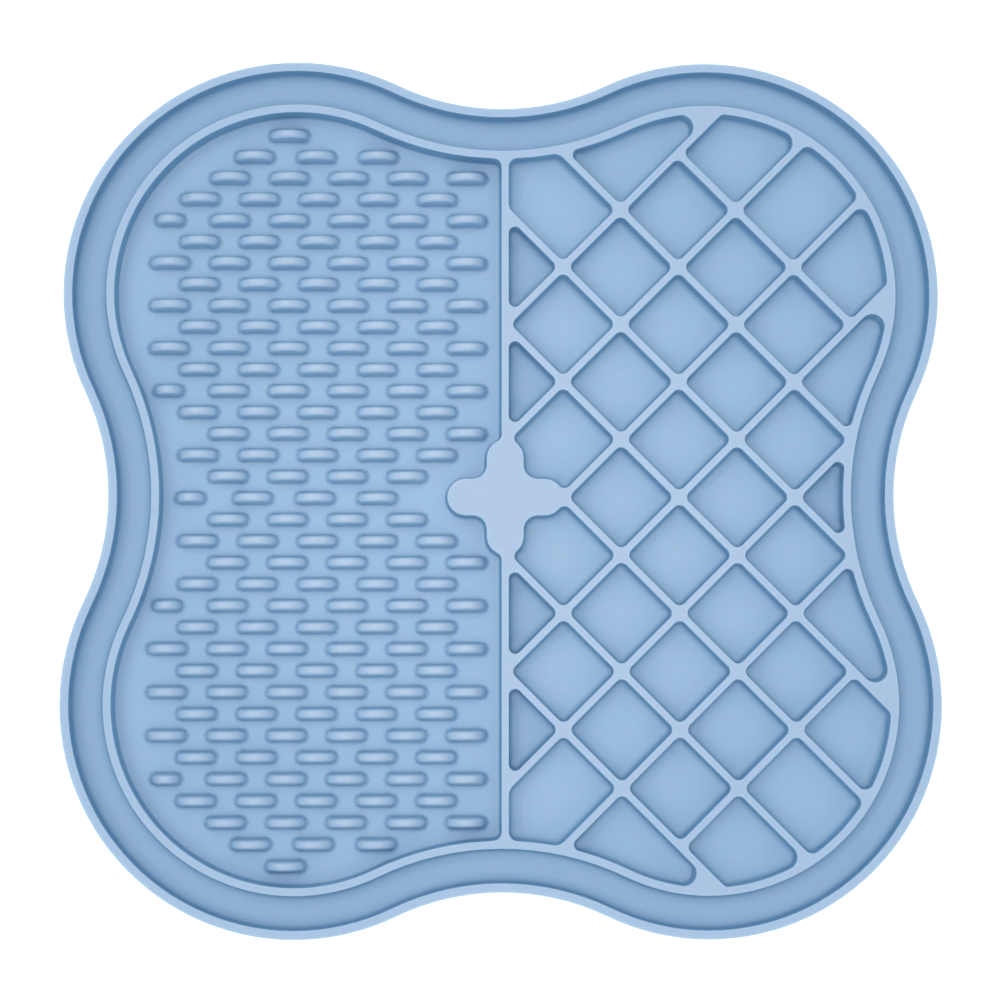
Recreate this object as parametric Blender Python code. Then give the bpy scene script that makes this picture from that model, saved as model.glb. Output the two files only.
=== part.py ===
"""A moulded silicone lick mat: a four-lobed tray with nubs on one half and lattice pockets on the other.

Metres, +Z up. The mat lies flat: its underside is the plane z = 0 and its outline is centred on the
Z axis. +X is to the right of the divider wall, where the lattice is; the nubs are at -X.
"""

from math import atan2, cos, hypot, pi, radians, sin, sqrt

import bmesh
import bpy
import numpy as np

MM = 0.001

# Outline: four round lobes joined by four hollow waists, every arc tangent to the next.
WIDTH = 200 * MM
LOBE_RADIUS = 53.2 * MM
WAIST_RADIUS = 55.3 * MM
LOBE_STEPS = 16
WAIST_STEPS = 6
LOBE_OFFSET = WIDTH / 2 - LOBE_RADIUS
WAIST_OFFSET = LOBE_OFFSET + sqrt((LOBE_RADIUS + WAIST_RADIUS) ** 2 - LOBE_OFFSET**2)
WAIST_TILT = atan2(LOBE_OFFSET, WAIST_OFFSET - LOBE_OFFSET)

# Heights: one base sheet, and walls that all end in one plane.
BASE_THICKNESS = 2.0 * MM
WALL_HEIGHT = 5.5 * MM
WALL_TOP = BASE_THICKNESS + WALL_HEIGHT
RIM_ROUNDING = 0.8 * MM

# Walls, as wide as they are on top. Their faces lean out by DRAFT down to a sloping foot.
RIM_WIDTH = 2.1 * MM
MOAT_WIDTH = 7.7 * MM
INNER_WALL_WIDTH = 1.85 * MM
DIVIDER_WIDTH = 1.65 * MM
LATTICE_WALL_WIDTH = 1.65 * MM
DRAFT = 0.4 * MM
FOOT = 0.7 * MM
FIELD_INSET = RIM_WIDTH + MOAT_WIDTH + INNER_WALL_WIDTH

# Lattice: walls at 45 degrees, whose crossings lie HALF_PITCH apart along X and Y.
CENTRE = np.array([0.8, 0.0]) * MM
HALF_PITCH = 13.2 * MM

# Plan radii of the hollows' corners.
TIGHT = 1.4 * MM
PLAIN = 1.6 * MM
ROUND = 2.0 * MM
FULL = 2.8 * MM

# Plate in the middle: four arms with full-round ends and hollow corners between them.
PLATE_ARM = 4.2 * MM
PLATE_NOTCH = 3.2 * MM
PLATE_REACH = HALF_PITCH
PLATE_STEPS = 6

# Nubs: oblong loaves, whose crown is level in the middle and slopes down to the ends, in rows that
# are offset by half a column. Lengths along a nub are shares of its length.
NUB_LENGTH = 9.6 * MM
SHORT_NUB_LENGTH = 7.3 * MM
NUB_WIDTH = 3.1 * MM
NUB_HEIGHT = 4.8 * MM
NUB_END_HEIGHT = 1.5 * MM
NUB_END_WIDTH = 1.5 * MM
NUB_TAPER = 0.45 * MM
NUB_ROOT_STRAIGHT = 0.34
NUB_CROWN_LEVEL = 0.18
NUB_ROOT = 0.7 * MM
ROW_PITCH = 4.92 * MM
COLUMN_PITCH = 13.63 * MM
LOOSE_PITCH = 14.2 * MM
FIRST_COLUMN_X = -8.05 * MM
HALF_COLUMN = COLUMN_PITCH / 2

CUTTER_HEADROOM = 2 * MM
NEWTON_START = 0.3 * MM


class Face:
    """A straight wall face: normal . point = distance, with the hollow on its low side."""

    def __init__(self, normal, distance):
        self.normal = np.array(normal) / hypot(*normal)
        self.distance = distance

    def clearance(self, point):
        return self.distance - self.normal @ point

    def between(self, start, end):
        return []


class InnerWall:
    """The inner wall's inner face, an inset copy of the outline, with the hollow inside it."""

    def clearance(self, point):
        x, y = abs(point[0]), abs(point[1])
        turn = atan2(y - LOBE_OFFSET, x - LOBE_OFFSET)
        if -WAIST_TILT <= turn <= pi / 2 + WAIST_TILT:
            return LOBE_RADIUS - FIELD_INSET - hypot(x - LOBE_OFFSET, y - LOBE_OFFSET)
        along, across = max(x, y), min(x, y)
        return hypot(WAIST_OFFSET - along, across) - WAIST_RADIUS - FIELD_INSET

    def between(self, start, end):
        return walk(quatrefoil(FIELD_INSET), np.zeros(2), start, end)


class PlateEdge:
    """The centre plate's edge, with the hollow outside it."""

    def clearance(self, point):
        x, y = np.abs(point - CENTRE)
        along, across = max(x, y), min(x, y)
        if along > PLATE_REACH - PLATE_ARM:
            return hypot(along - PLATE_REACH + PLATE_ARM, across) - PLATE_ARM
        notch = PLATE_ARM + PLATE_NOTCH
        if along > notch:
            return across - PLATE_ARM
        return PLATE_NOTCH - hypot(along - notch, across - notch)

    def between(self, start, end):
        return walk(plate_outline()[::-1], CENTRE, start, end)


def arc(centre, radius, start, end, steps):
    """Points on a circle from one angle to another, without the last one."""
    angles = np.linspace(start, end, steps, endpoint=False)
    return np.column_stack([centre[0] + radius * np.cos(angles), centre[1] + radius * np.sin(angles)])


def turned(points, quarter_turns):
    """The points turned about the origin by a number of quarter turns."""
    c, s = [(1, 0), (0, 1), (-1, 0), (0, -1)][quarter_turns % 4]
    return points @ np.array([[c, s], [-s, c]])


def quatrefoil(inset):
    """The mat's outline moved inwards by inset, anticlockwise: a lobe and a waist in each quarter."""
    lobe = arc((LOBE_OFFSET, LOBE_OFFSET), LOBE_RADIUS - inset, -WAIST_TILT, pi / 2 + WAIST_TILT, LOBE_STEPS)
    waist = arc((0, WAIST_OFFSET), WAIST_RADIUS + inset, WAIST_TILT - pi / 2, -WAIST_TILT - pi / 2, WAIST_STEPS)
    quarter = np.vstack([lobe, waist])
    return np.vstack([turned(quarter, n) for n in range(4)])


def plate_outline():
    """The centre plate's outline, anticlockwise: a round arm end and a hollow corner in each quarter."""
    end = arc((PLATE_REACH - PLATE_ARM, 0), PLATE_ARM, -pi / 2, pi / 2, PLATE_STEPS)
    tip = np.array([[PLATE_REACH - PLATE_ARM, PLATE_ARM]])
    notch = PLATE_ARM + PLATE_NOTCH
    corner = arc((notch, notch), PLATE_NOTCH, -pi / 2, -pi, PLATE_STEPS // 2)
    quarter = np.vstack([end, tip, corner, [[PLATE_ARM, notch]]])
    return CENTRE + np.vstack([turned(quarter, n) for n in range(4)])


def walk(loop, middle, start, end):
    """The points of a loop that lie between two places on it, in the loop's own direction."""

    def angle(point):
        return atan2(point[1] - middle[1], point[0] - middle[0])

    way = 1 if (angle(loop[1]) - angle(loop[0])) % (2 * pi) < pi else -1
    reach = (way * (angle(end) - angle(start))) % (2 * pi)
    gaps = [(way * (angle(point) - angle(start))) % (2 * pi) for point in loop]
    margin = 0.02 * reach
    inside = [(gap, tuple(point)) for gap, point in zip(gaps, loop) if margin < gap < reach - margin]
    return [np.array(point) for _, point in sorted(inside)]


def slope(face, point):
    """The direction in which a face's clearance grows fastest, a unit vector."""
    step = 1e-7
    east = face.clearance(point + (step, 0)) - face.clearance(point - (step, 0))
    north = face.clearance(point + (0, step)) - face.clearance(point - (0, step))
    return np.array([east, north]) / (2 * step)


def fillet_centre(first, second, radius, guess):
    """The point at one radius from both faces, by Newton's method from a guess near it."""
    point = np.array(guess, dtype=float)
    for _ in range(12):
        gap = np.array([first.clearance(point), second.clearance(point)]) - radius
        point = point - np.linalg.solve(np.array([slope(first, point), slope(second, point)]), gap)
    return point


def hollow_outline(sides, guesses):
    """A hollow's outline and the outward normal at each point, from its wall faces in order.

    sides holds (face, radius of the fillet between it and the next face); guesses holds a point
    near each of those fillets.
    """
    corners = []
    for n, (face, radius) in enumerate(sides):
        following = sides[(n + 1) % len(sides)][0]
        corners.append((fillet_centre(face, following, radius, guesses[n]), radius, face, following))
    points, normals = [], []
    for n, (centre, radius, face, following) in enumerate(corners):
        before = corners[n - 1]
        start = before[0] - before[1] * slope(face, before[0])
        end = centre - radius * slope(face, centre)
        for point in face.between(start, end):
            points.append(point)
            normals.append(-slope(face, point))
        out, onward = -slope(face, centre), -slope(following, centre)
        first_angle = atan2(out[1], out[0])
        sweep = (atan2(onward[1], onward[0]) - first_angle) % (2 * pi)
        steps = max(2, round(sweep / radians(45)))
        for angle in np.linspace(first_angle, first_angle + sweep, steps + 1):
            normals.append(np.array([cos(angle), sin(angle)]))
            points.append(centre + radius * normals[-1])
    return np.array(points), np.array(normals)


INNER_WALL = InnerWall()
PLATE_EDGE = PlateEdge()
DIVIDER_RIGHT = Face((-1, 0), -CENTRE[0] - DIVIDER_WIDTH / 2)
DIVIDER_LEFT = Face((1, 0), CENTRE[0] - DIVIDER_WIDTH / 2)

DIAGONALS = {"SE": (1, -1), "NE": (1, 1), "NW": (-1, 1), "SW": (-1, -1)}

# Lattice pockets: the walls around each kind, anticlockwise, with the radius of the corner after it.
POCKETS = {
    "diamond": (("SE", PLAIN), ("NE", PLAIN), ("NW", PLAIN), ("SW", PLAIN)),
    "by divider": (("SE", PLAIN), ("NE", TIGHT), ("divider", TIGHT)),
    "by plate": (("SE", PLAIN), ("NE", PLAIN), ("NW", PLAIN), ("plate", PLAIN)),
    "divider end": (("SE", PLAIN), ("NE", FULL), ("wall", ROUND), ("divider", FULL), ("SW", PLAIN)),
    "back lobe": (("SE", FULL), ("wall", PLAIN), ("NW", PLAIN), ("SW", PLAIN)),
    "side lobe": (("SE", ROUND), ("wall", ROUND), ("NW", PLAIN), ("SW", PLAIN)),
    "back waist": (("SE", FULL), ("wall", TIGHT), ("SW", PLAIN)),
    "side waist": (("wall", FULL), ("NW", PLAIN), ("SW", TIGHT)),
    "waist middle": (("wall", TIGHT), ("NW", PLAIN), ("SW", TIGHT)),
}

# Where the back half has a pocket of each kind: its middle's column and row, in half pitches from
# CENTRE. The front half mirrors those behind row 0.
CELLS = {
    "diamond": [(2, 0), (4, 0), (3, 1), (5, 1), (2, 2), (4, 2), (1, 3), (3, 3), (5, 3), (2, 4), (4, 4), (3, 5)],
    "by divider": [(0, 2), (0, 4)],
    "by plate": [(1, 1)],
    "divider end": [(1, 5)],
    "back lobe": [(4, 6)],
    "side lobe": [(5, 5), (6, 4)],
    "back waist": [(2, 6)],
    "side waist": [(6, 2)],
    "waist middle": [(6, 0)],
}

# Nub rows of the back half: how far each is from the middle row, its first nub in half columns from
# the divider, how many nubs it has, their pitch, and whether the one at the far end is short.
NUB_ROWS = [
    # rows, first, nubs, pitch, short end
    ((0,), 3, 4, LOOSE_PITCH, True),
    ((1,), 2, 4, COLUMN_PITCH, False),
    ((3, 15), 0, 5, COLUMN_PITCH, False),
    ((5, 13), 0, 6, COLUMN_PITCH, True),
    ((7, 9, 11), 0, 6, COLUMN_PITCH, False),
    ((2, 4, 6, 8, 10, 12, 14), 1, 5, COLUMN_PITCH, False),
    ((16,), 3, 3, LOOSE_PITCH, False),
    ((17,), 6, 1, COLUMN_PITCH, False),
]


def lattice_face(cell, name):
    """The named wall face around the lattice cell whose column and row are given."""
    if name in DIAGONALS:
        normal = np.array(DIAGONALS[name])
        middle = CENTRE + np.array(cell) * HALF_PITCH
        return Face(normal, (normal @ middle + HALF_PITCH) / sqrt(2) - LATTICE_WALL_WIDTH / 2)
    return {"divider": DIVIDER_RIGHT, "wall": INNER_WALL, "plate": PLATE_EDGE}[name]


def pocket_outline(cell, walls):
    """The outline and normals of the lattice pocket in a cell."""
    middle = CENTRE + np.array(cell) * HALF_PITCH
    sides = [(lattice_face(cell, name), radius) for name, radius in walls]
    return hollow_outline(sides, [middle + NEWTON_START] * len(sides))


def nub_field_outline():
    """The nub field's outline and normals: inner wall, divider, left of the plate, divider."""
    near_wall = WAIST_OFFSET - WAIST_RADIUS - FIELD_INSET - ROUND
    near_plate = PLATE_REACH + PLAIN
    beside = DIVIDER_LEFT.distance - ROUND
    sides = [(INNER_WALL, ROUND), (DIVIDER_LEFT, PLAIN), (PLATE_EDGE, PLAIN), (DIVIDER_LEFT, ROUND)]
    guesses = [(beside, -near_wall), (beside, -near_plate), (beside, near_plate), (beside, near_wall)]
    return hollow_outline(sides, guesses)


def at_height(points, z):
    """Plan points lifted to one height."""
    return np.column_stack([points, np.full(len(points), z)])


def hollow_rings(points, normals):
    """The sections of a moulded hollow, lowest first: floor, top of its foot, above the walls."""
    lean = DRAFT / (WALL_HEIGHT - FOOT)
    return [
        at_height(points - (DRAFT + FOOT) * normals, BASE_THICKNESS),
        at_height(points - DRAFT * normals, BASE_THICKNESS + FOOT),
        at_height(points + lean * CUTTER_HEADROOM * normals, WALL_TOP + CUTTER_HEADROOM),
    ]


def mirrored(points):
    """Plan vectors mirrored from the back half to the front half, still anticlockwise."""
    return (points * (1, -1))[::-1]


def nub_outline(straight, length, width, end_width):
    """Eight points anticlockwise: full width as far as the straight reaches, then in to the end."""
    quarter = [(straight, -width / 2), (length / 2, -end_width / 2)]
    right = quarter + [(x, -y) for x, y in quarter[::-1]]
    return np.array(right + [(-x, -y) for x, y in right])


def nub_rings(x, y, length):
    """The sections of a nub, lowest first. Its top is narrower, and its ends are lower."""
    root = nub_outline(NUB_ROOT_STRAIGHT * length, length, NUB_WIDTH, NUB_END_WIDTH)
    taper = 2 * NUB_TAPER
    crown = nub_outline(NUB_CROWN_LEVEL * length, length - taper, NUB_WIDTH - taper, NUB_END_WIDTH)
    rise = np.where(np.abs(crown[:, 0]) > length / 4, NUB_END_HEIGHT, NUB_HEIGHT)
    place = np.array([x, y])
    top = at_height(place + crown, BASE_THICKNESS)
    top[:, 2] += rise
    return [at_height(place + root, BASE_THICKNESS - NUB_ROOT), at_height(place + root, BASE_THICKNESS), top]


# A nub's top in three flat faces: one end's slope, the level middle and the other slope, as the
# numbers of the crown's points.
NUB_ROOF = ((0, 1, 2, 3), (0, 3, 4, 7), (4, 5, 6, 7))


def add_loft(bm, rings, joined=False, roof=None):
    """Skins a list of rings, and caps the ends or joins the last ring to the first.

    roof lists the last ring's points in each face of the upper cap, where it isn't one flat face.
    """
    levels = [[bm.verts.new(point) for point in ring] for ring in rings]
    pairs = list(zip(levels, levels[1:]))
    if joined:
        pairs.append((levels[-1], levels[0]))
    else:
        bm.faces.new(levels[0][::-1])
        for face in roof or [range(len(levels[-1]))]:
            bm.faces.new([levels[-1][n] for n in face])
    for low, high in pairs:
        for n in range(len(low)):
            m = (n + 1) % len(low)
            bm.faces.new((low[n], low[m], high[m], high[n]))


def new_object(name, bm, collection):
    """Turns a bmesh into an object of the collection, with its faces pointing outwards."""
    bmesh.ops.recalc_face_normals(bm, faces=bm.faces)
    mesh = bpy.data.meshes.new(name)
    bm.to_mesh(mesh)
    bm.free()
    thing = bpy.data.objects.new(name, mesh)
    collection.objects.link(thing)
    return thing


def new_collection(name):
    collection = bpy.data.collections.new(name)
    bpy.context.scene.collection.children.link(collection)
    return collection


def new_cutter(name, bm, collection):
    """An object that only shapes the mat, and is left out of it."""
    cutter = new_object(name, bm, collection)
    cutter.hide_render = True
    cutter.display_type = "WIRE"
    return cutter


def make_slab(collection):
    """The whole mat as a plain slab, with the rim's outer top edge rounded."""
    bm = bmesh.new()
    half_turn = RIM_ROUNDING * (1 - sqrt(0.5))
    add_loft(
        bm,
        [
            at_height(quatrefoil(0), 0),
            at_height(quatrefoil(0), WALL_TOP - RIM_ROUNDING),
            at_height(quatrefoil(half_turn), WALL_TOP - half_turn),
            at_height(quatrefoil(RIM_ROUNDING), WALL_TOP),
        ],
    )
    return new_object("mat", bm, collection)


def make_moat_cutter(collection):
    """The channel between the rim and the inner wall, its section carried round the outline."""
    outer, inner = RIM_WIDTH, RIM_WIDTH + MOAT_WIDTH
    spread = DRAFT / (WALL_HEIGHT - FOOT) * CUTTER_HEADROOM
    section = [
        # inset from the outline, height
        (outer - spread, WALL_TOP + CUTTER_HEADROOM),
        (outer + DRAFT, BASE_THICKNESS + FOOT),
        (outer + DRAFT + FOOT, BASE_THICKNESS),
        (inner - DRAFT - FOOT, BASE_THICKNESS),
        (inner - DRAFT, BASE_THICKNESS + FOOT),
        (inner + spread, WALL_TOP + CUTTER_HEADROOM),
    ]
    bm = bmesh.new()
    add_loft(bm, [at_height(quatrefoil(inset), z) for inset, z in section], joined=True)
    return new_cutter("moat cutter", bm, collection)


def make_hollow_cutters(collection):
    """The nub field's hollow, and every lattice pocket, as separate closed shapes in one cutter."""
    bm = bmesh.new()
    add_loft(bm, hollow_rings(*nub_field_outline()))
    for kind, cells in CELLS.items():
        for cell in cells:
            points, normals = pocket_outline(cell, POCKETS[kind])
            add_loft(bm, hollow_rings(points, normals))
            if cell[1] > 0:
                add_loft(bm, hollow_rings(mirrored(points), mirrored(normals)))
    return new_cutter("hollow cutters", bm, collection)


def make_nubs(collection):
    """Every nub, rooted in the base sheet, as one shape that is joined to the mat."""
    bm = bmesh.new()
    for rows, first, count, pitch, short_end in NUB_ROWS:
        for row in rows:
            for side in (1, -1) if row else (1,):
                for n in range(count):
                    x = FIRST_COLUMN_X - first * HALF_COLUMN - n * pitch
                    is_short = short_end and n == count - 1
                    length = SHORT_NUB_LENGTH if is_short else NUB_LENGTH
                    add_loft(bm, nub_rings(x, side * row * ROW_PITCH, length), roof=NUB_ROOF)
    return new_cutter("nubs", bm, collection)


def add_boolean(thing, name, operation, other):
    modifier = thing.modifiers.new(name, "BOOLEAN")
    modifier.operation = operation
    modifier.solver = "EXACT"
    modifier.object = other


def silicone(name):
    """Light blue food-grade silicone with a satin surface."""
    material = bpy.data.materials.new(name)
    material.use_nodes = True
    shader = material.node_tree.nodes["Principled BSDF"]
    shader.inputs["Base Color"].default_value = (0.36, 0.56, 0.80, 1)
    shader.inputs["Roughness"].default_value = 0.55
    shader.inputs["Metallic"].default_value = 0.0
    return material


def main():
    for thing in list(bpy.data.objects):
        bpy.data.objects.remove(thing, do_unlink=True)
    part = new_collection("Lick mat")
    cutters = new_collection("Cutters")
    mat = make_slab(part)
    add_boolean(mat, "Moat", "DIFFERENCE", make_moat_cutter(cutters))
    add_boolean(mat, "Hollows", "DIFFERENCE", make_hollow_cutters(cutters))
    add_boolean(mat, "Nubs", "UNION", make_nubs(cutters))
    mat.data.materials.append(silicone("Blue silicone"))


main()
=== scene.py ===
# %% [markdown]
# # A moulded silicone lick mat
#
# A lick mat is one piece of soft silicone, pressed in a steel mould. Food is spread into its hollows,
# and a pet licks it out slowly. This one has four round lobes. A rim and an inner wall run round it
# with a moat between them, a divider splits the middle, nubs stand on the left and a lattice of
# walls makes pockets on the right.
#
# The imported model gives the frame: where the mat lies and how large it is. This script makes the
# surface that shows, with every edge rounded as a mould rounds it, and gives it its finish.

# %% Load the frame
from collections import namedtuple
from math import atan2, ceil, degrees, hypot, pi, radians, sqrt, tan

import bpy
import numpy as np
from mathutils import Matrix, Vector
from mathutils.geometry import delaunay_2d_cdt


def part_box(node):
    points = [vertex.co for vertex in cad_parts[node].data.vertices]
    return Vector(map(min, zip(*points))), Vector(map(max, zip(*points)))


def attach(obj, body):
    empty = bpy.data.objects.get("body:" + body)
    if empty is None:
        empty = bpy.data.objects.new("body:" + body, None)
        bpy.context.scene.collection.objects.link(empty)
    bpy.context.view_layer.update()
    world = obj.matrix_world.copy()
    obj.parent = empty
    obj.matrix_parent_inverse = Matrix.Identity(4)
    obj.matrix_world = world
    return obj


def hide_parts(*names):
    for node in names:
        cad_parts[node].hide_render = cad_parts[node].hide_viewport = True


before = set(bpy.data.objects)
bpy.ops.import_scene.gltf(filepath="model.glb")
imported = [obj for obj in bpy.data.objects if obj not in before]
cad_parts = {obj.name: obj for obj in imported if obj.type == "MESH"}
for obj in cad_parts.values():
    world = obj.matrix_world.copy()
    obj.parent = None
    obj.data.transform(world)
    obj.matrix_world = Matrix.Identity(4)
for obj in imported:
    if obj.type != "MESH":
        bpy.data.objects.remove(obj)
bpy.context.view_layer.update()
LOWEST, HIGHEST = (np.array(corner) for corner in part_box("mat"))
print("the mat's box in millimetres:", np.round(1000 * (HIGHEST - LOWEST), 2))

# %% [markdown]
# ## The driving sizes
#
# The mould is one base sheet with walls on it that all end in one plane. The width and the height
# come from the frame, and everything else is a wall's width, a gap or a pitch. All the mould's
# faces lean a little, which is called draft: without it the silicone would tear as it is pulled out.

# %% Sizes
MM = 0.001
BASE_THICKNESS = 2.0 * MM
UNDERSIDE = LOWEST[2]
WALL_TOP = HIGHEST[2]
FLOOR = UNDERSIDE + BASE_THICKNESS

LOBE_RADIUS = 53.2 * MM
WAIST_RADIUS = 55.3 * MM
LOBE_OFFSET = (HIGHEST[0] - LOWEST[0]) / 2 - LOBE_RADIUS
WAIST_OFFSET = LOBE_OFFSET + sqrt((LOBE_RADIUS + WAIST_RADIUS) ** 2 - LOBE_OFFSET**2)
WAIST_TILT = atan2(LOBE_OFFSET, WAIST_OFFSET - LOBE_OFFSET)

RIM_WIDTH = 2.1 * MM
MOAT_WIDTH = 7.7 * MM
INNER_WALL_WIDTH = 1.85 * MM
DIVIDER_WIDTH = 1.65 * MM
LATTICE_WALL_WIDTH = 1.65 * MM
FIELD_INSET = RIM_WIDTH + MOAT_WIDTH + INNER_WALL_WIDTH
DRAFT = 0.42 * MM

CENTRE = np.array([0.8, 0.0]) * MM
HALF_PITCH = 13.2 * MM
print(f"walls {1000 * (WALL_TOP - FLOOR):.1f} mm high, lattice pitch {2000 * HALF_PITCH:.1f} mm")

# %% [markdown]
# ## The outline
#
# Seen from above, the mat is four round lobes joined by four hollow waists. It could be drawn as a
# Bezier curve, but it is truly made of arcs, each tangent to the next, so a formula gives it exactly.
# Each point keeps its outward normal too. Moving the points along their normals gives a parallel
# outline, and that is how the rim, the moat and the inner wall follow the edge.

# %% Outlines of arcs
Outline = namedtuple("Outline", "points outwards")
LOBE_STEPS = 44
WAIST_STEPS = 16


def turned(vectors, quarters):
    """Plan vectors turned about the origin by quarter turns: (x, y) becomes (cx - sy, sx + cy)."""
    c, s = [(1, 0), (0, 1), (-1, 0), (0, -1)][quarters % 4]
    return vectors @ np.array([[c, s], [-s, c]])


def round_arc(centre, radius, start, end, steps, hollow=False):
    """An arc without its last point: centre + radius x (cos a, sin a), for a from start to end.

    Its outward normal is (cos a, sin a), or the reverse where the arc is a hollow one.
    """
    angles = np.linspace(start, end, steps, endpoint=False)
    spokes = np.column_stack([np.cos(angles), np.sin(angles)])
    return Outline(np.asarray(centre) + radius * spokes, -spokes if hollow else spokes)


def joined(*parts):
    """One outline from several, end to end."""
    return Outline(*(np.vstack(columns) for columns in zip(*parts)))


def four_times(quarter, centre=(0.0, 0.0)):
    """A quarter of an outline repeated at each quarter turn, anticlockwise, about a centre."""
    quarters = [Outline(turned(quarter.points, n), turned(quarter.outwards, n)) for n in range(4)]
    whole = joined(*quarters)
    return Outline(whole.points + np.asarray(centre), whole.outwards)


def quatrefoil(inset=0.0):
    """The mat's outline moved inwards by inset: a lobe and a waist in each quarter, anticlockwise."""
    lobe_middle, waist_middle = (LOBE_OFFSET, LOBE_OFFSET), (0, WAIST_OFFSET)
    lobe = round_arc(lobe_middle, LOBE_RADIUS - inset, -WAIST_TILT, pi / 2 + WAIST_TILT, LOBE_STEPS)
    ends = (WAIST_TILT - pi / 2, -WAIST_TILT - pi / 2)
    waist = round_arc(waist_middle, WAIST_RADIUS + inset, *ends, WAIST_STEPS, hollow=True)
    return four_times(joined(lobe, waist))


EDGE = quatrefoil()
print(f"the outline has {len(EDGE.points)} points")

# %% [markdown]
# ## Sections
#
# A section is the shape that a saw cut across a wall would show. It is written as a few corners, each
# with a radius, as a mould maker's drawing has it. Every corner becomes an arc that is tangent to
# the straights on both sides, and because the arcs are known, so is the surface normal along them.

# %% Sections with rounded corners
Section = namedtuple("Section", "places normals")
SECTION_STEP = radians(22.5)


def rounded_section(corners, turn_step=SECTION_STEP):
    """A section's (distance outwards, height) points and its surface normals.

    corners holds (distance, height, radius). The first and the last only give directions. Elsewhere
    the path turns by an angle t from unit direction a to b. The arc starts radius x tan(t / 2)
    before the corner, and its point at direction d is its centre less radius x side x (d's left
    normal), where side is 1 for a left turn. The surface normal is the direction's right-hand one.
    """
    places, normals = [], []
    for before, corner, after in zip(corners, corners[1:], corners[2:]):
        here, radius = np.array(corner[:2]), corner[2]
        a, b = here - before[:2], np.array(after[:2]) - here
        a, b = a / hypot(*a), b / hypot(*b)
        turn = atan2(a[0] * b[1] - a[1] * b[0], a @ b)
        side = np.sign(turn)
        headings = atan2(a[1], a[0]) + np.linspace(0, turn, ceil(abs(turn) / turn_step) + 1)
        left = np.column_stack([-np.sin(headings), np.cos(headings)])
        start = here - a * radius * tan(abs(turn) / 2)
        middle = start + side * radius * left[0]
        places.append(middle - side * radius * left)
        normals.append(-left)
    return Section(np.vstack(places), np.vstack(normals))


print(f"a section's corners turn by up to {degrees(SECTION_STEP):.1f} degrees a step")

# %% [markdown]
# ## Carrying a section along an outline
#
# This is the one tool that makes nearly every surface here, like running a plasterer's profile along
# a wall. The result is a grid: one ring of points for each point of the section. The grid is computed
# at once by numpy, and the vertex normals come from the same formula, so that flat faces shade flat
# and round ones shade round with few polygons.

# %% Carry a section
def carry(outline, section):
    """A grid of places and normals: place = outline point + distance x outward normal, at height.

    The section's normal (n, up) becomes n x outward normal, with up as its Z.
    """
    distance, height = section.places.T[:, :, None]
    lean, up = section.normals.T[:, :, None]
    points, outwards = outline.points[None], outline.outwards[None]
    places = points + distance[..., None] * outwards
    normals = lean[..., None] * outwards
    shape = places.shape[:2] + (1,)
    lifted = np.broadcast_to(height[..., None], shape)
    tilted = np.broadcast_to(up[..., None], shape)
    return np.concatenate([places, lifted], axis=2), np.concatenate([normals, tilted], axis=2)


print("a section carried round the edge makes rings of", len(EDGE.points), "points")
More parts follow.
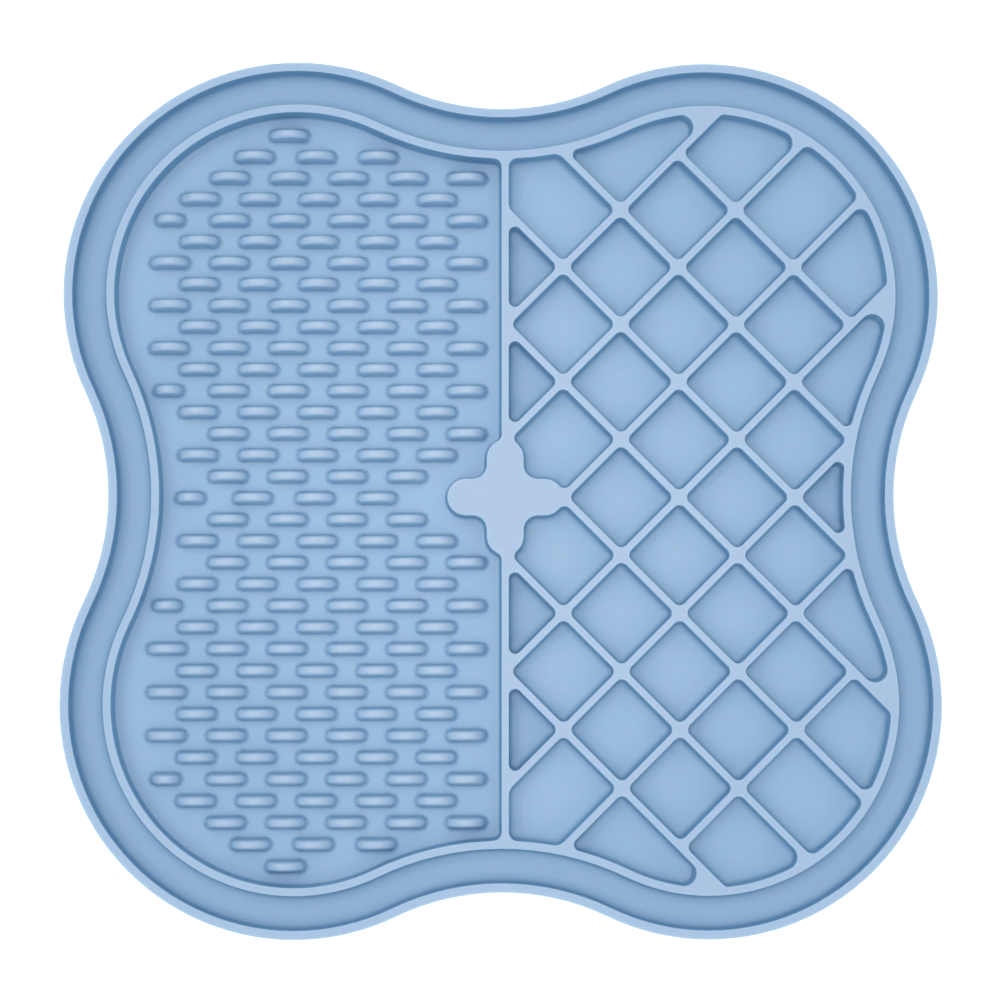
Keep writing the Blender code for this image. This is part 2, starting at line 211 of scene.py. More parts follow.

# %% [markdown]
# ## One closed moulding
#
# The mat is one piece, so its mesh is one closed surface with shared vertices, like the real skin of
# the silicone. The bands of quads come from the grids. The flat areas between them, such as the tops
# of the walls or the floor round the nubs, are cut into triangles by a constrained Delaunay
# triangulation, which takes an outer ring and any holes in it.
#
# Each vertex also gets a number, kept as an attribute of the mesh, which says how strong the painted
# shade on the steep faces there is. The silicone's material reads it and paints those faces that much
# deeper blue.

# %% Collect bands and flats
class Moulding:
    """Collects the vertices, normals and faces of one closed body."""

    def __init__(self):
        self.places = np.empty((0, 3))
        self.normals = np.empty((0, 3))
        self.painted_shades = np.empty(0)
        self.faces = []

    def add_bands(self, places, normals, painted_shade=1.0):
        """Adds grids of rings and joins each ring to the next. The last axes are ring, point, xyz.

        The last argument is how strong the painted shade on the steep faces there is, from 0 to 1.
        Returns the vertex numbers in the same layout.
        """
        numbers = len(self.places) + np.arange(places[..., 0].size).reshape(places.shape[:-1])
        self.places = np.vstack([self.places, places.reshape(-1, 3)])
        self.normals = np.vstack([self.normals, normals.reshape(-1, 3)])
        self.painted_shades = np.append(self.painted_shades, np.broadcast_to(painted_shade, numbers.shape))
        onward = np.roll(numbers, -1, axis=-1)
        low, high = np.s_[..., :-1, :], np.s_[..., 1:, :]
        self.add_faces(np.stack([numbers[low], onward[low], onward[high], numbers[high]], axis=-1))
        return numbers

    def add_faces(self, corners):
        """Adds faces from an array whose last axis holds each face's corners."""
        self.faces.append(corners.reshape(-1, corners.shape[-1]))

    def fill(self, outer, *holes, upwards=True):
        """Fills the flat area inside one ring and outside the holes with triangles."""
        rings = [outer, *holes]
        numbers = np.concatenate(rings)
        starts = np.cumsum([0] + [len(ring) for ring in rings])
        loops = [list(range(a, b)) for a, b in zip(starts, starts[1:])]
        flat = [Vector(place) for place in self.places[numbers, :2].tolist()]
        _, _, triangles, sources, _, _ = delaunay_2d_cdt(flat, [], loops, 2, 1e-9)
        origin = np.array([source[0] for source in sources])
        corners = numbers[origin[np.array(triangles)]]
        self.add_faces(corners if upwards else corners[:, ::-1])

    def open_edges(self):
        """How many edges don't have exactly two faces: none in a closed body."""
        pairs = [np.stack([part, np.roll(part, -1, axis=1)], axis=-1) for part in self.faces]
        ends = np.vstack([pair.reshape(-1, 2) for pair in pairs])
        _, uses = np.unique(np.sort(ends, axis=1), axis=0, return_counts=True)
        return int((uses != 2).sum())

    def to_object(self, name):
        """Makes the mesh and its object, smooth-shaded by the normals that the formulas gave."""
        mesh = bpy.data.meshes.new(name)
        faces = [face for part in self.faces for face in part.tolist()]
        mesh.from_pydata(self.places.tolist(), [], faces)
        mesh.shade_smooth()
        mesh.normals_split_custom_set_from_vertices(self.normals.tolist())
        mesh.attributes.new("painted_shade", "FLOAT", "POINT").data.foreach_set("value", self.painted_shades)
        thing = bpy.data.objects.new(name, mesh)
        bpy.context.scene.collection.objects.link(thing)
        return thing


mat = Moulding()
print("an empty moulding waits for its bands and flats")

# %% [markdown]
# ## The rim, the moat and the inner wall
#
# One section makes all of them. It starts under the mat, goes round the bottom edge and up the outer
# wall, over the soft outer edge of the rim, down into the moat, across its floor and up the inner
# wall. The tight radii are the mould's sharp edges. The wide ones are the moat's coves, which are easy
# to lick clean and keep the walls from tearing at their feet.
#
# Inside the rim, where shade falls between the walls, the steep faces get the strongest painted shade,
# in deep blue. The outer wall stands in the open, so its painted shade is weaker.

# %% Rim, moat and inner wall
EDGE_RADIUS = 0.25 * MM
COVE_RADIUS = 2.6 * MM
RIM_ROUNDING = 1.0 * MM
UNDER_RADIUS = 0.4 * MM
UNDER_BAND = 4 * MM
# painted shade: the outer wall's steep faces take a weaker painted shade
OUTER_PAINTED_SHADE = 0.4

moat_outer = RIM_WIDTH
moat_inner = RIM_WIDTH + MOAT_WIDTH
rim_section = rounded_section(
    [
        # distance outwards, height, radius
        (-UNDER_BAND, UNDERSIDE, 0),
        (0, UNDERSIDE, UNDER_RADIUS),
        (0, WALL_TOP, RIM_ROUNDING),
        (-moat_outer, WALL_TOP, EDGE_RADIUS),
        (-moat_outer - DRAFT, FLOOR, COVE_RADIUS),
        (-moat_inner + DRAFT, FLOOR, COVE_RADIUS),
        (-moat_inner, WALL_TOP, EDGE_RADIUS),
        (-moat_inner - 1 * MM, WALL_TOP, 0),
    ]
)
# painted shade at full strength inside the rim, and weaker on the outer wall
within = rim_section.places[:, :1] < -RIM_WIDTH / 2
rim = mat.add_bands(*carry(EDGE, rim_section), painted_shade=np.where(within, 1, OUTER_PAINTED_SHADE))
mat.fill(rim[0], upwards=False)
print(f"rim and moat: {rim.shape[0]} rings of {rim.shape[1]} points")

# %% [markdown]
# ## What bounds a hollow
#
# Every pocket, and the field of nubs, is a hollow between wall faces: straight ones, the curved inner
# wall, and the edge of the plate in the middle. Each face here is a small class that answers two
# questions. Its clearance is how far a point is from it, on the open side, and two clearances are
# enough to find the round corner between any two faces, whatever their shape. The other is which
# points lie on it between two corners.

# %% Wall faces
class Face:
    """A straight wall face. Clearance = distance - normal . point."""

    def __init__(self, normal, distance):
        self.normal = np.array(normal) / hypot(*normal)
        self.distance = distance

    def clearance(self, point):
        return self.distance - self.normal @ point

    def between(self, start, end):
        """No points: a straight face needs none between its corners."""
        return Outline(np.empty((0, 2)), np.empty((0, 2)))


class InnerWall:
    """The inner wall's inner face: the mat's outline moved inwards.

    Folded into one eighth of the plan, a point is either beside a lobe, where clearance is the lobe's
    radius less the distance to its middle, or beside a waist, where it is the distance to the waist's
    middle less its radius.
    """

    def clearance(self, point):
        x, y = abs(point[0]), abs(point[1])
        bearing = atan2(y - LOBE_OFFSET, x - LOBE_OFFSET)
        if -WAIST_TILT <= bearing <= pi / 2 + WAIST_TILT:
            return LOBE_RADIUS - FIELD_INSET - hypot(x - LOBE_OFFSET, y - LOBE_OFFSET)
        return hypot(WAIST_OFFSET - max(x, y), min(x, y)) - WAIST_RADIUS - FIELD_INSET

    def between(self, start, end):
        """The moved outline's points, anticlockwise, because the hollow is inside it."""
        return stretch(quatrefoil(FIELD_INSET), np.zeros(2), start, end, 1)


def stretch(outline, middle, start, end, way):
    """The points of an outline between two places on it, found by their bearings from its middle.

    way is 1 to go anticlockwise and -1 to go clockwise. Points that all but touch an end are left out.
    """

    def bearing(places):
        return np.arctan2(places[..., 1] - middle[1], places[..., 0] - middle[0])

    first = bearing(start)
    reach = (way * (bearing(end) - first)) % (2 * pi)
    gaps = (way * (bearing(outline.points) - first)) % (2 * pi)
    order = np.argsort(gaps)
    order = order[(gaps[order] > 0.02 * reach) & (gaps[order] < 0.98 * reach)]
    return Outline(outline.points[order], way * outline.outwards[order])


INNER_WALL = InnerWall()
print(f"the inner wall is {1000 * INNER_WALL.clearance(np.zeros(2)):.1f} mm from the middle at its waists")

# %% [markdown]
# ## The plate in the middle
#
# Where the divider and the lattice meet, a small bare plate with four rounded arms fills the centre.
# Its edge is one more face: arm ends are half circles, and the corners between the arms are hollow
# arcs.

# %% The centre plate
PLATE_ARM = 4.2 * MM
PLATE_NOTCH = 3.2 * MM
PLATE_REACH = HALF_PITCH
PLATE_STEPS = 12


class PlateEdge:
    """The plate's edge, with the hollow outside it.

    In one eighth of the plan, clearance is measured to the arm's round end, to its straight side, or
    to the hollow corner between two arms.
    """

    def clearance(self, point):
        x, y = np.abs(point - CENTRE)
        along, across = max(x, y), min(x, y)
        if along > PLATE_REACH - PLATE_ARM:
            return hypot(along - PLATE_REACH + PLATE_ARM, across) - PLATE_ARM
        notch = PLATE_ARM + PLATE_NOTCH
        if along > notch:
            return across - PLATE_ARM
        return PLATE_NOTCH - hypot(along - notch, across - notch)

    def between(self, start, end):
        """The plate's points, clockwise, because the hollow is outside it."""
        return stretch(plate_outline(), CENTRE, start, end, -1)


def plate_outline():
    """The plate's outline, anticlockwise: a round arm end and a hollow corner in each quarter."""
    notch = PLATE_ARM + PLATE_NOTCH
    arm_end = round_arc((PLATE_REACH - PLATE_ARM, 0), PLATE_ARM, -pi / 2, pi / 2, PLATE_STEPS)
    tip = round_arc((PLATE_REACH - PLATE_ARM, 0), PLATE_ARM, pi / 2, pi, 1)
    corner = round_arc((notch, notch), PLATE_NOTCH, -pi / 2, -pi, PLATE_STEPS // 2, hollow=True)
    side = round_arc((notch, notch), PLATE_NOTCH, -pi, -1.5 * pi, 1, hollow=True)
    return four_times(joined(arm_end, tip, corner, side), CENTRE)


PLATE_EDGE = PlateEdge()
print(f"the plate is {2000 * PLATE_REACH:.1f} mm across its arms")

# %% [markdown]
# ## Round corners between faces
#
# A corner's arc has its centre at one radius from both faces. For two straight faces that point has a
# closed formula, but for an arc and a straight it gets long. Newton's method finds it in a few steps
# for any pair: it needs only the two clearances and the direction in which each grows fastest.

# %% Outlines of hollows
CORNER_STEP = radians(15)
NEWTON_STEPS = 12


def slope(face, point, step=1e-7):
    """The direction in which a face's clearance grows fastest, by central differences."""
    east = face.clearance(point + (step, 0)) - face.clearance(point - (step, 0))
    north = face.clearance(point + (0, step)) - face.clearance(point - (0, step))
    return np.array([east, north]) / (2 * step)


def corner_centre(first, second, radius, guess):
    """The point at one radius from both faces: each step solves slopes x move = radius - clearances."""
    point = np.array(guess, dtype=float)
    for _ in range(NEWTON_STEPS):
        gap = radius - np.array([first.clearance(point), second.clearance(point)])
        point = point + np.linalg.solve([slope(first, point), slope(second, point)], gap)
    return point


def hollow_outline(sides, guesses):
    """A hollow's outline, anticlockwise, from its faces in order and the radius after each.

    Between two corners it follows the face. Round a corner it is centre + radius x (cos a, sin a),
    for a from the one face's outward bearing to the next one's.
    """
    faces = [face for face, _ in sides]
    following = faces[1:] + faces[:1]
    radii = [radius for _, radius in sides]
    centres = [corner_centre(*corner) for corner in zip(faces, following, radii, guesses)]
    parts = []
    for n, (face, onward, radius, centre) in enumerate(zip(faces, following, radii, centres)):
        start = centres[n - 1] - radii[n - 1] * slope(face, centres[n - 1])
        out, next_out = -slope(face, centre), -slope(onward, centre)
        parts.append(face.between(start, centre + radius * out))
        bearing = atan2(out[1], out[0])
        sweep = (atan2(next_out[1], next_out[0]) - bearing) % (2 * pi)
        angles = bearing + np.linspace(0, sweep, ceil(sweep / CORNER_STEP) + 1)
        spokes = np.column_stack([np.cos(angles), np.sin(angles)])
        parts.append(Outline(centre + radius * spokes, spokes))
    return joined(*parts)


def mirrored(outline):
    """An outline mirrored from the back half to the front half, still anticlockwise."""
    return Outline(*((vectors * (1, -1))[::-1] for vectors in outline))


print(f"a hollow's corners turn by up to {degrees(CORNER_STEP):.0f} degrees a step")

# %% [markdown]
# ## The lattice pockets
#
# The lattice is walls at 45 degrees. Where they all meet walls of their own kind they leave diamonds,
# and at the divider, the plate and the inner wall they leave cut-off shapes. A table says which faces
# bound each kind, anticlockwise, and how round the corner after each is. A second table says where
# the kinds are, as columns and rows of the lattice. The front half mirrors the back one.

# %% Tables of pockets
TIGHT = 1.4 * MM
PLAIN = 1.6 * MM
ROUND = 2.0 * MM
FULL = 2.8 * MM

DIVIDER_RIGHT = Face((-1, 0), -CENTRE[0] - DIVIDER_WIDTH / 2)
DIVIDER_LEFT = Face((1, 0), CENTRE[0] - DIVIDER_WIDTH / 2)
DIAGONALS = {"SE": (1, -1), "NE": (1, 1), "NW": (-1, 1), "SW": (-1, -1)}

POCKETS = {
    "diamond": (("SE", PLAIN), ("NE", PLAIN), ("NW", PLAIN), ("SW", PLAIN)),
    "by divider": (("SE", PLAIN), ("NE", TIGHT), ("divider", TIGHT)),
    "by plate": (("SE", PLAIN), ("NE", PLAIN), ("NW", PLAIN), ("plate", PLAIN)),
    "divider end": (("SE", PLAIN), ("NE", FULL), ("wall", ROUND), ("divider", FULL), ("SW", PLAIN)),
    "back lobe": (("SE", FULL), ("wall", PLAIN), ("NW", PLAIN), ("SW", PLAIN)),
    "side lobe": (("SE", ROUND), ("wall", ROUND), ("NW", PLAIN), ("SW", PLAIN)),
    "back waist": (("SE", FULL), ("wall", TIGHT), ("SW", PLAIN)),
    "side waist": (("wall", FULL), ("NW", PLAIN), ("SW", TIGHT)),
    "waist middle": (("wall", TIGHT), ("NW", PLAIN), ("SW", TIGHT)),
}
CELLS = {
    "diamond": [
        *[(2, 0), (4, 0), (3, 1), (5, 1), (2, 2), (4, 2)],
        *[(1, 3), (3, 3), (5, 3), (2, 4), (4, 4), (3, 5)],
    ],
    "by divider": [(0, 2), (0, 4)],
    "by plate": [(1, 1)],
    "divider end": [(1, 5)],
    "back lobe": [(4, 6)],
    "side lobe": [(5, 5), (6, 4)],
    "back waist": [(2, 6)],
    "side waist": [(6, 2)],
    "waist middle": [(6, 0)],
}


def cell_middle(cell):
    """The middle of a lattice cell: centre + (column, row) x half pitch."""
    return CENTRE + np.array(cell) * HALF_PITCH


def lattice_face(cell, name):
    """The named face around a lattice cell: a diagonal one is half a pitch out from its middle."""
    if name in DIAGONALS:
        normal = np.array(DIAGONALS[name])
        reach = normal @ cell_middle(cell) + HALF_PITCH
        return Face(normal, reach / sqrt(2) - LATTICE_WALL_WIDTH / 2)
    return {"divider": DIVIDER_RIGHT, "wall": INNER_WALL, "plate": PLATE_EDGE}[name]


def pocket_outline(cell, kind):
    """The outline of the pocket in a cell. Newton's method starts just beside the cell's middle."""
    sides = [(lattice_face(cell, name), radius) for name, radius in POCKETS[kind]]
    return hollow_outline(sides, [cell_middle(cell) + 0.3 * MM] * len(sides))


print(len(POCKETS), "kinds of pocket, in", sum(map(len, CELLS.values())), "cells of the back half")

# %% [markdown]
# Each pocket takes the same short section: a small edge radius on top, a leaning face, and a broad
# cove that runs out into the floor. The cove is wider than the corners are round, so an outline that
# was only moved inwards would cross itself there. Each ring is the outline drawn smaller towards the
# pocket's middle instead, which never crosses. The smallest pockets take a smaller cove. The floors
# are filled, and the top rings are kept for the tops of the walls.

# %% Pockets
COVE_STEP = radians(15)
COVE_SHARE = 0.75


def hollow_section(foot):
    """A hollow's edge, leaning face and foot, as distance outwards from its outline and height."""
    return rounded_section(
        [
            (1 * MM, WALL_TOP, 0),
            (0, WALL_TOP, EDGE_RADIUS),
            (-DRAFT, FLOOR, foot),
            (-DRAFT - 1 * MM, FLOOR, 0),
        ],
        COVE_STEP,
    )


def deepest_point(outline):
    """The point farthest from every side, found by stepping away from the nearest one.

    How far a side is = (outline point - middle) . outward normal. Returns the middle and that room.
    """
    middle = outline.points.mean(axis=0)
    for step in np.geomspace(1 * MM, 0.01 * MM, 60):  # ever smaller steps settle in the middle
        spans = ((outline.points - middle) * outline.outwards).sum(axis=1)
        middle = middle - step * outline.outwards[spans.argmin()]
    return middle, ((outline.points - middle) * outline.outwards).sum(axis=1).min()


def shrunk(outline, section, middle, room):
    """Like carry, but each ring is the outline drawn smaller: middle + arm x (1 + distance / room).

    arm is the way from the middle to the outline's point. A side that is s from the middle moves
    s / room as fast as the section says, so the normal's up part grows by that factor.
    """
    scale = 1 + section.places[:, 0] / room
    arms = outline.points - middle
    pace = (arms * outline.outwards).sum(axis=1) / room
    flat = middle + scale[:, None, None] * arms
    lean, up = section.normals.T[:, :, None]
    normals = np.concatenate([lean[..., None] * outline.outwards, (up * pace)[..., None]], axis=2)
    normals = normals / np.linalg.norm(normals, axis=2, keepdims=True)
    heights = np.broadcast_to(section.places[:, 1, None, None], flat.shape[:2] + (1,))
    return np.concatenate([flat, heights], axis=2), normals


top_rings = []
for kind, cells in CELLS.items():
    for cell in cells:
        back = pocket_outline(cell, kind)
        for outline in [back, mirrored(back)] if cell[1] else [back]:
            middle, room = deepest_point(outline)
            section = hollow_section(min(COVE_RADIUS, COVE_SHARE * room))
            rings = mat.add_bands(*shrunk(outline, section, middle, room))
            mat.fill(rings[-1])
            top_rings.append(rings[0])
print(f"{len(top_rings)} lattice pockets")

# %% [markdown]
# ## The field of nubs
#
# The left half is one wide hollow, bounded by the inner wall, the divider and the left of the plate.
# Its foot is a small fillet, less than its corners' radii, so here the plain carry is enough. Its top
# ring and the pockets' top rings are the holes in the tops of the walls, which are filled in one go.

# %% Nub field
FIELD_FOOT_RADIUS = 0.92 * MM

near_wall = WAIST_OFFSET - WAIST_RADIUS - FIELD_INSET - ROUND
near_plate = PLATE_REACH + PLAIN
beside = DIVIDER_LEFT.distance - ROUND
field = hollow_outline(
    [(INNER_WALL, ROUND), (DIVIDER_LEFT, PLAIN), (PLATE_EDGE, PLAIN), (DIVIDER_LEFT, ROUND)],
    [(beside, -near_wall), (beside, -near_plate), (beside, near_plate), (beside, near_wall)],
)
field_rings = mat.add_bands(*carry(field, hollow_section(FIELD_FOOT_RADIUS)))
mat.fill(rim[-1], field_rings[0], *top_rings)
print(f"the nub field's outline has {field_rings.shape[1]} points")

# %% [markdown]
# ## Nubs
#
# A nub is an oblong bump that a tongue scrapes over. Its plan is two half circles joined by straights,
# its section is a small fillet, a leaning face and a broad rounding, and its top is arched from end to
# end like a loaf. The fillet and the rounding are one band of faces each: with the true normals at
# their vertices they look round. One nub has some sixty faces, which matters for a shape that comes
# 170 times.
#
# The arch is made by scaling every height by a factor that falls off towards the ends. A surface that
# is scaled and sheared turns its normals by the inverse transpose of the same change.

# %% The shape of a nub
NUB_LENGTH = 9.6 * MM
SHORT_NUB_LENGTH = 7.3 * MM
NUB_WIDTH = 2.95 * MM
NUB_HEIGHT = 4.8 * MM
NUB_LEAN = 0.4 * MM
NUB_FOOT_RADIUS = 1.0 * MM
NUB_CROWN_RADIUS = 1.2 * MM
NUB_SHOULDER = 0.97  # the corner between face and crown, as a share of the height
NUB_RIDGE = 1.08  # where the crown's slopes would meet, had it no cap
NUB_ARCH = 0.9
ARCH_POWER = 2.0
NUB_END_POINTS = 5
NUB_SIDE_POINTS = (0.65, 0.25, -0.25, -0.65)  # along a straight, as shares of its half length
# painted shade: how strong the painted shade on the nubs' steep faces is
NUB_PAINTED_SHADE = 0.6

nub_section = rounded_section(
    [
        (2 * MM, FLOOR, 0),
        (0, FLOOR, NUB_FOOT_RADIUS),
        (-NUB_LEAN, FLOOR + NUB_SHOULDER * NUB_HEIGHT, NUB_CROWN_RADIUS),
        (-NUB_WIDTH / 2, FLOOR + NUB_RIDGE * NUB_HEIGHT, 0),
    ],
    turn_step=radians(90),
)


def oblong(length, width):
    """Half circles, and a few points on each of the straights between them, anticlockwise.

    The right end and the back are computed, and the rest is the same turned half round.
    """
    reach = (length - width) / 2
    along = reach * np.array(NUB_SIDE_POINTS)
    turns = np.append(np.linspace(-pi / 2, pi / 2, NUB_END_POINTS), np.full(along.size, pi / 2))
    spokes = np.column_stack([np.cos(turns), np.sin(turns)])
    shift = np.append(np.full(NUB_END_POINTS, reach), along)
    half = spokes * width / 2 + np.column_stack([shift, np.zeros_like(shift)])
    return Outline(np.vstack([half, -half]), np.vstack([spokes, -spokes]))


def arched(places, normals, length):
    """Heights above the floor times 1 - arch x u to a power, with u = |2 x / length|, at most 1."""
    x, above = places[..., 0], places[..., 2] - FLOOR
    u = np.minimum(np.abs(2 * x / length), 1)
    factor = 1 - NUB_ARCH * u**ARCH_POWER
    fall = np.where(u < 1, -NUB_ARCH * ARCH_POWER * u ** (ARCH_POWER - 1) * np.sign(x) * 2 / length, 0)
    bent = places.copy()
    bent[..., 2] = FLOOR + above * factor
    up = normals[..., 2] / factor
    turned_normals = np.stack([normals[..., 0] - above * fall * up, normals[..., 1], up], axis=-1)
    return bent, turned_normals / np.linalg.norm(turned_normals, axis=-1, keepdims=True)


print("a nub's section has", len(nub_section.places), "points")

# %% [markdown]
# The nubs stand in rows, with every second row moved by half a column. A table of rows for the back
# half is enough, because the front half mirrors it. All nubs of one length are placed in one go, by
# adding their middles to the same grid.

# %% Rows of nubs
ROW_PITCH = 4.92 * MM
COLUMN_PITCH = 13.63 * MM
LOOSE_PITCH = 14.2 * MM
FIRST_COLUMN_X = -8.05 * MM

NUB_ROWS = [
    # rows, first nub in half columns from the divider, nubs, pitch, short nub at the far end
    ((0,), 3, 4, LOOSE_PITCH, True),
    ((1,), 2, 4, COLUMN_PITCH, False),
    ((3, 15), 0, 5, COLUMN_PITCH, False),
    ((5, 13), 0, 6, COLUMN_PITCH, True),
    ((7, 9, 11), 0, 6, COLUMN_PITCH, False),
    ((2, 4, 6, 8, 10, 12, 14), 1, 5, COLUMN_PITCH, False),
    ((16,), 3, 3, LOOSE_PITCH, False),
    ((17,), 6, 1, COLUMN_PITCH, False),
]


def nub_middles():
    """The middle of every nub, and whether it is a short one."""
    middles, shorts = [], []
    for rows, first, count, pitch, short_end in NUB_ROWS:
        x = FIRST_COLUMN_X - first * COLUMN_PITCH / 2 - np.arange(count) * pitch
        is_short = short_end & (np.arange(count) == count - 1)
        for row in sorted({side * row for row in rows for side in (-1, 1)}):
            middles.append(np.column_stack([x, np.full(count, row * ROW_PITCH), np.zeros(count)]))
            shorts.append(is_short)
    return np.vstack(middles), np.concatenate(shorts)


def add_caps(crowns):
    """Closes the top of each nub with a strip of quads between its sides, and a triangle at each tip."""
    count, tip = crowns.shape[1], NUB_END_POINTS // 2
    step = np.arange(1, count // 2)
    front, back = crowns[:, (tip - step) % count], crowns[:, tip + step]
    mat.add_faces(np.stack([front[:, :-1], back[:, :-1], back[:, 1:], front[:, 1:]], axis=-1))
    for middle in (tip, tip + count // 2):
        mat.add_faces(crowns[:, [middle - 1, middle, middle + 1]])


middles, is_short = nub_middles()
foot_rings = []
for length, chosen in ((NUB_LENGTH, ~is_short), (SHORT_NUB_LENGTH, is_short)):
    places, normals = arched(*carry(oblong(length, NUB_WIDTH), nub_section), length)
    spread = middles[chosen][:, None, None, :] + places
    numbers = mat.add_bands(spread, np.broadcast_to(normals, spread.shape), painted_shade=NUB_PAINTED_SHADE)
    add_caps(numbers[:, -1])
    foot_rings.extend(numbers[:, 0])
mat.fill(field_rings[-1], *foot_rings)
print(f"{len(middles)} nubs, {is_short.sum()} of them short")

# %% [markdown]
# Now the surface is whole. A closed mesh has exactly two faces at every edge, so counting the edges
# that don't is a quick and certain test.

# %% Make the mat
silicone_mat = mat.to_object("silicone_mat")
triangles = sum(len(polygon.vertices) - 2 for polygon in silicone_mat.data.polygons)
print(f"{triangles} triangles, open edges: {mat.open_edges()}")

# %% [markdown]
# ## Shader maths as Python expressions
#
# A material is a graph of nodes, and arithmetic in it takes many small Math nodes. Wrapping a socket
# in a class with operators lets an expression such as 1 - mask * 0.5 add those nodes by itself.

# %% Nodes from expressions
class Value:
    """A socket in an expression. Each operator adds the Math node that it stands for."""

    def __init__(self, tree, socket):
        self.tree, self.socket = tree, socket

    def math(self, operation, *values):
        """Adds a Math node with these values or links as its inputs."""
        inputs = dict(enumerate(values))
        return self.tree.node("ShaderNodeMath", {"operation": operation}, inputs)

    def __add__(self, other):
        return self.math("ADD", self, other)

    def __sub__(self, other):
        return self.math("SUBTRACT", self, other)

    def __rsub__(self, other):
        return self.math("SUBTRACT", other, self)

    def __mul__(self, other):
        return self.math("MULTIPLY", self, other)

    def __abs__(self):
        return self.math("ABSOLUTE", self)

    __radd__ = __add__
    __rmul__ = __mul__


class Tree:
    """A new material's nodes, from one method."""

    def __init__(self, name):
        self.material = bpy.data.materials.new(name)
        self.material.use_nodes = True
        self.nodes = self.material.node_tree.nodes
        self.links = self.material.node_tree.links
        self.nodes.clear()

    def node(self, kind, settings=None, inputs=None, output=0):
        """Adds a node: its settings first, then its sockets by name or number. Returns an output."""
        node = self.nodes.new(kind)
        for name, setting in (settings or {}).items():
            setattr(node, name, setting)
        for key, value in (inputs or {}).items():
            socket = node.inputs[key] if isinstance(key, int) else self.find(node.inputs, key)
            if isinstance(value, Value):
                self.links.new(value.socket, socket)
            else:
                socket.default_value = value
        if not node.outputs:
            return node
        socket = node.outputs[output] if isinstance(output, int) else self.find(node.outputs, output)
        return Value(self, socket)

    @staticmethod
    def find(sockets, key):
        """The first socket with that identifier or name."""
        return next(socket for socket in sockets if key in (socket.identifier, socket.name))


print("expressions such as 1 - mask * 0.5 now add nodes")

# %% [markdown]
# ## The silicone
#
# Silicone of this kind is coloured with a pale blue pigment. It is a little translucent, so light
# wanders through it. Its steep faces get a painted shade in deep blue. The mould's steel is
# blasted, which leaves a fine grain and a satin sheen. The tops of the walls are touched and wiped
# most, and are paler, with a faint frosting, and the crowns of the nubs get a painted highlight.
#
# Subsurface scattering does the translucency from real sizes in millimetres. The deep blue is painted
# shade in the colour: it grows as a face gets steeper, as far as the strength of painted shade that the
# mesh gives there, and a little painted shade grows towards the rim, standing in for light that falls
# off away from the middle. The grain is a bump, and the body's colour only drifts slightly, as it does in
# one batch of silicone.

# %% Blue silicone
BODY_BLUE = (0.39, 0.585, 0.785, 1)
DRIFT_BLUE = (0.41, 0.60, 0.78, 1)
FROSTED_BLUE = (0.445, 0.565, 0.75, 1)
# pale flecks, and the painted highlight on the nubs' crowns
FLECK_AND_HIGHLIGHT_BLUE = (0.51, 0.62, 0.78, 1)
# painted shade: the deep blue painted on steep faces where shade falls, and a little towards the rim
PAINTED_SHADE_BLUE = (0.14, 0.315, 0.515, 1)


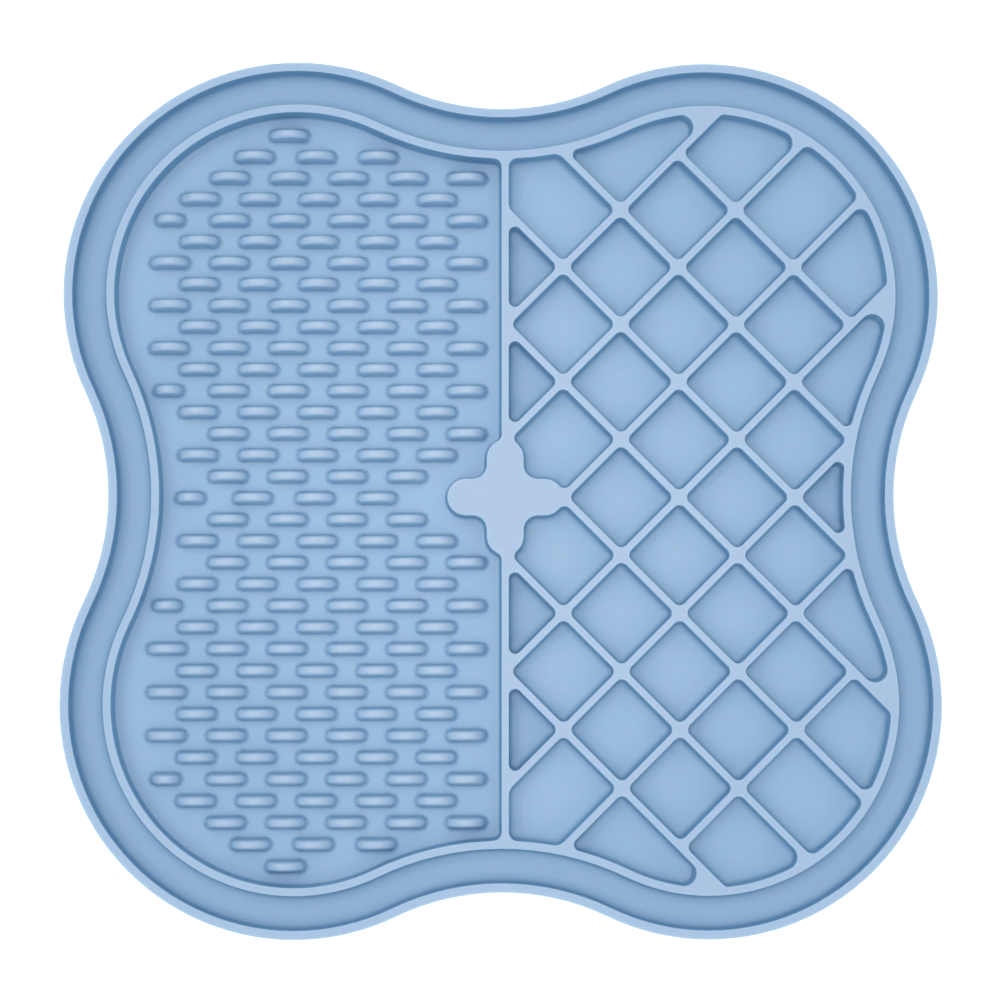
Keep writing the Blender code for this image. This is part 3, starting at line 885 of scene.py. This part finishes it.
def silicone():
    """Blue silicone with frosted tops, a painted highlight on the nubs' crowns, pale flecks, painted shade
    on steep faces and towards the rim, and a fine grain.
    """
    tree = Tree("blue_silicone")
    where = tree.node("ShaderNodeTexCoord", output="Object")
    height = tree.node("ShaderNodeSeparateXYZ", inputs={"Vector": where}, output="Z")
    normal = tree.node("ShaderNodeNewGeometry", output="Normal")

    def noise(size, detail, roughness=0.5):
        """Noise whose features are about that many metres across, from 0 to 1."""
        inputs = {"Vector": where, "Scale": 1 / size, "Detail": detail, "Roughness": roughness}
        return tree.node("ShaderNodeTexNoise", {}, inputs, "Fac")

    def ramp(value, start, end, low=0.0, high=1.0):
        """A smooth step from low to high as the value goes from start to end."""
        inputs = {"Value": value, "From Min": start, "From Max": end, "To Min": low, "To Max": high}
        return tree.node("ShaderNodeMapRange", {"interpolation_type": "SMOOTHSTEP"}, inputs, "Result")

    def mixed(factor, a, b):
        """Colour a where the factor is 0 and b where it is 1."""
        inputs = {"Factor_Float": factor, "A_Color": a, "B_Color": b}
        return tree.node("ShaderNodeMix", {"data_type": "RGBA"}, inputs, "Result_Color")

    drift = noise(35 * MM, 2)
    cloud = noise(6 * MM, 3)
    grain = noise(0.45 * MM, 2, 0.6)
    fleck = ramp(noise(0.55 * MM, 1), 0.55, 0.70)
    upwards = tree.node("ShaderNodeSeparateXYZ", inputs={"Vector": normal}, output="Z")
    top = ramp(upwards, 0.45, 0.95) * ramp(height, FLOOR + 1.0 * MM, FLOOR + 2.2 * MM)
    # painted highlight: up-facing faces lower than the wall tops, which are the nubs' crowns, are painted
    # paler
    painted_crown_highlight = top * ramp(height, WALL_TOP - 0.1 * MM, WALL_TOP - 0.6 * MM)
    reach = tree.node("ShaderNodeVectorMath", {"operation": "LENGTH"}, {"Vector": where}, "Value")
    # painted shade: more deep blue towards the rim, standing in for light that falls off away from the
    # middle
    outer = ramp(reach, 35 * MM, 105 * MM)
    # painted shade: the mesh's attribute and the face's steepness say how much painted shade a face takes
    painted_shade = tree.node("ShaderNodeAttribute", {"attribute_name": "painted_shade"}, output="Fac")
    painted_steep_shade = ramp(abs(upwards) + 1 - painted_shade, 0.93, 0.05)

    body = mixed(drift * 0.7 + cloud * 0.3, BODY_BLUE, DRIFT_BLUE)
    frosted = mixed(top * (0.7 + 1.4 * (grain - 0.5)), body, FROSTED_BLUE)
    # pale flecks, and the nubs' crowns painted paler as a painted highlight
    flecks_and_highlight = mixed(fleck * (0.08 + 0.32 * top) + 0.45 * painted_crown_highlight, frosted, FLECK_AND_HIGHLIGHT_BLUE)
    # the colour takes the painted shade towards the rim, then the painted shade on the steep faces
    colour = mixed(painted_steep_shade, mixed(0.16 * outer, flecks_and_highlight, PAINTED_SHADE_BLUE), PAINTED_SHADE_BLUE)
    bump_inputs = {"Strength": 0.25, "Distance": 0.05 * MM, "Height": grain + 0.3 * cloud}
    surface = {
        "Base Color": colour,
        "Roughness": 0.5 + 0.12 * (cloud - 0.5) + 0.08 * top,
        "Normal": tree.node("ShaderNodeBump", {}, bump_inputs),
        "IOR": 1.41,
        "Subsurface Weight": 0.5,
        "Subsurface Radius": (0.5, 0.8, 1.0),
        "Subsurface Scale": 1.8 * MM,
    }
    shader = tree.node("ShaderNodeBsdfPrincipled", {}, surface, "BSDF")
    tree.node("ShaderNodeOutputMaterial", {}, {"Surface": shader})
    return tree.material


silicone_mat.data.materials.append(silicone())
print("the silicone's material has", len(silicone_mat.data.materials[0].node_tree.nodes), "nodes")

# %% [markdown]
# ## Floor, light and camera
#
# The mat lies on a plain white floor, in a white surround that gives most of the light. One wide, soft
# lamp above it, a little to the left, models the shapes. A nearby panel could do that, but it lights
# one side of the mat more than the other. A sun with a wide angle is as soft, and the same everywhere.
#
# The floor is a hair below the mat, because two faces in one plane make stripes. Its underside is
# clear, so that the mat can be looked at from below as well.

# %% Floor
FLOOR_SIZE = 12.0
FLOOR_GAP = 0.05 * MM


def plain_floor():
    """A square floor just under the mat, its corners at plus and minus half its size."""
    half = FLOOR_SIZE / 2
    level = UNDERSIDE - FLOOR_GAP
    corners = [(-half, -half, level), (half, -half, level), (half, half, level), (-half, half, level)]
    mesh = bpy.data.meshes.new("floor")
    mesh.from_pydata(corners, [], [(0, 1, 2, 3)])
    thing = bpy.data.objects.new("floor", mesh)
    bpy.context.scene.collection.objects.link(thing)
    tree = Tree("white_table")
    from_below = tree.node("ShaderNodeNewGeometry", output="Backfacing")
    surface = {
        "Base Color": (0.85, 0.85, 0.85, 1),
        "Alpha": 1 - from_below,
        "Roughness": 0.8,
        "Emission Color": (1, 1, 1, 1),
        "Emission Strength": 0.4,
    }
    shader = tree.node("ShaderNodeBsdfPrincipled", {}, surface, "BSDF")
    tree.node("ShaderNodeOutputMaterial", {}, {"Surface": shader})
    mesh.materials.append(tree.material)
    return thing


floor = plain_floor()
print("floor:", tuple(round(side, 2) for side in floor.dimensions))

# %% Light
scene = bpy.context.scene
scene.view_settings.view_transform = "Standard"

world = bpy.data.worlds.new("white_surround")
world.use_nodes = True
background = world.node_tree.nodes["Background"]
background.inputs["Color"].default_value = (1.0, 1.0, 1.0, 1)
background.inputs["Strength"].default_value = 0.84
scene.world = world

softbox_light = bpy.data.lights.new("softbox", "SUN")
softbox_light.angle = radians(50)
softbox_light.energy = 0.7
softbox = bpy.data.objects.new("softbox", softbox_light)
softbox.rotation_euler = (radians(-2), radians(-15), 0)
scene.collection.objects.link(softbox)
print(f"softbox {softbox_light.energy:.1f} W per square metre")

# %% [markdown]
# The camera looks almost straight down, from a little to the left and to the front of the middle, so
# that the inner faces of the far walls show slightly more than those of the near ones.

# %% Camera
CAMERA_PLACE = Vector((-0.012, -0.050, 0.7075))
CAMERA_TARGET = Vector((-0.0004, -0.0007, WALL_TOP))
VIEW_WIDTH = 227.3 * MM


def make_camera():
    """A camera whose view is VIEW_WIDTH wide at its target: lens / sensor = distance / width."""
    data = bpy.data.cameras.new("camera")
    line = CAMERA_TARGET - CAMERA_PLACE
    data.lens = data.sensor_width * line.length / VIEW_WIDTH
    data.clip_start, data.clip_end = 0.01, 50
    thing = bpy.data.objects.new("camera", data)
    ahead = line.normalized()
    right = ahead.cross(Vector((0, 1, 0))).normalized()
    above = right.cross(ahead)
    turn = Matrix((right, above, -ahead)).transposed().to_4x4()
    thing.matrix_world = Matrix.Translation(CAMERA_PLACE) @ turn
    scene.collection.objects.link(thing)
    return thing


scene.camera = make_camera()
print(f"lens {scene.camera.data.lens:.1f} mm")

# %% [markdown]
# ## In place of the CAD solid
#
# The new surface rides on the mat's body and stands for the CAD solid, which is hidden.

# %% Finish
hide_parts("mat")
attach(silicone_mat, "root")
